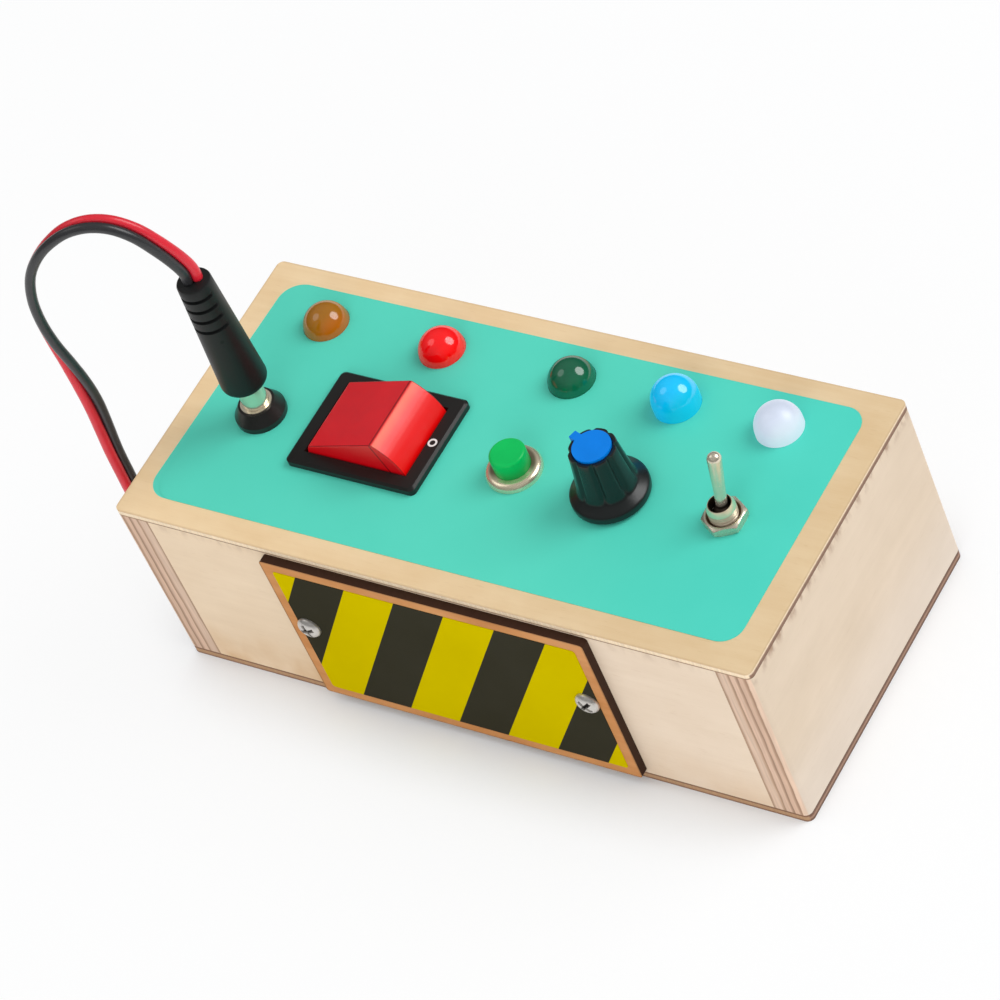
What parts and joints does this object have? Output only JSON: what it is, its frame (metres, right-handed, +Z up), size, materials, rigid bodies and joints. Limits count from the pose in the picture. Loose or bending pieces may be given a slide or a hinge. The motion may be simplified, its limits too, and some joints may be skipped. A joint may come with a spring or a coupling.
{
  "type": "toddler switch box",
  "caption": "Plywood toddler's switch box with coloured lamps, a rocker, a push button, a knob, a toggle and a power lead that plugs into its own face.",
  "frame": {"origin": "middle of the underside of the box, on the floor it stands on", "axes": "+X along the box to its right end, +Y to its back, +Z up"},
  "size_m": [0.1644, 0.0726, 0.1122],
  "materials": {
    "birch_ply": "smooth bare plywood with a laser-browned edge",
    "thin_ply": "thin plywood sheet, burnt at its cut edges",
    "teal_print": "satin printed film",
    "striped_print": "satin printed film with black and yellow stripes",
    "amber_lens": "clear tinted",
    "red_lens": "clear tinted",
    "green_lens": "clear tinted",
    "blue_lens": "diffuse, lit",
    "white_lens": "clear, lit",
    "black_plastic": "satin moulded",
    "red_plastic": "glossy moulded",
    "green_plastic": "satin moulded",
    "blue_plastic": "satin moulded",
    "case_plastic": "moulded",
    "nickel": "bright plated",
    "steel": "plain",
    "brass": "plain",
    "black_rubber": "soft moulded",
    "lead_skin": "smooth red and black twin insulation",
    "wire_skin": "smooth insulation",
    "battery_skin": "plain wrapped can"
  },
  "bodies": {
    "box": {"top_panel": "thin_ply", "coloured_face": "teal_print", "front_wall": "birch_ply", "back_wall": "birch_ply", "left_wall": "birch_ply", "right_wall": "birch_ply", "bottom_panel": "thin_ply", "amber_lamp": "amber_lens", "red_lamp": "red_lens", "green_lamp": "green_lens", "blue_lamp": "blue_lens", "white_lamp": "white_lens", "lamp_legs": "steel", "rocker_housing": "black_plastic", "rocker_tabs": "brass", "button_ring": "nickel", "button_nut": "nickel", "button_base": "black_plastic", "button_spring": "steel", "button_pins": "steel", "dial_bush": "steel", "dial_washer": "steel", "dial_nut": "nickel", "dial_case": "case_plastic", "dial_lugs": "steel", "toggle_pivot_pin": "steel", "toggle_bush": "nickel", "toggle_nut": "nickel", "toggle_back_nut": "nickel", "toggle_case": "case_plastic", "toggle_lugs": "steel", "jack_collar": "black_plastic", "jack_sleeve": "nickel", "jack_centre_pin": "brass", "jack_nut": "nickel", "jack_lugs": "steel", "power_lead": "lead_skin", "battery_lead": "lead_skin", "hookup_wires": "wire_skin", "battery": "battery_skin", "battery_snaps": "nickel", "snap_plate": "black_plastic", "battery_clip": "steel", "battery_door": "thin_ply", "striped_label": "striped_print", "door_screws": "steel"},
    "rocker": {"rocker_cap": "red_plastic", "rocker_plunger": "steel"},
    "rocker_contact": {"rocker_contact": "brass"},
    "button": {"button_cap": "green_plastic"},
    "knob": {"knob_grip": "black_plastic", "knob_dial": "blue_plastic", "knob_shaft": "steel"},
    "toggle": {"toggle_lever": "nickel"},
    "plug": {"plug_body": "black_rubber", "plug_barrel": "nickel", "plug_liner": "black_plastic"}
  },
  "joints": [
    {"name": "rocker_tilt", "type": "hinge", "parent": "box", "child": "rocker", "pos_m": [-0.0283, -0.002, 0.04672], "axis": [0, 1, 0], "range_deg": [0, 37]},
    {"name": "contact_tilt", "type": "hinge", "parent": "box", "child": "rocker_contact", "pos_m": [-0.0283, -0.002, 0.03446], "axis": [0, 1, 0], "range_deg": [-14, 0]},
    {"name": "button_press", "type": "slide", "parent": "box", "child": "button", "axis": [0, 0, -1], "range_m": [0, 0.0025], "stiffness_N_per_m": 400, "springref_m": -0.0015, "deforming": ["button_spring"]},
    {"name": "knob_turn", "type": "hinge", "parent": "box", "child": "knob", "pos_m": [0.0274, -0.0024, 0.04812], "axis": [0, 0, 1], "range_deg": [-222, 78]},
    {"name": "toggle_flip", "type": "hinge", "parent": "box", "child": "toggle", "pos_m": [0.053, -0.0019, 0.05032], "axis": [1, 0, 0], "range_deg": [0, 30]},
    {"name": "plug_pull", "type": "slide", "parent": "box", "child": "plug", "axis": [0, 0, 1], "range_m": [0, 0.012], "deforming": ["power_lead"]}
  ],
  "couplings": [
    {"joint": "contact_tilt", "follows": "rocker_tilt", "ratio": -0.378}
  ]
}
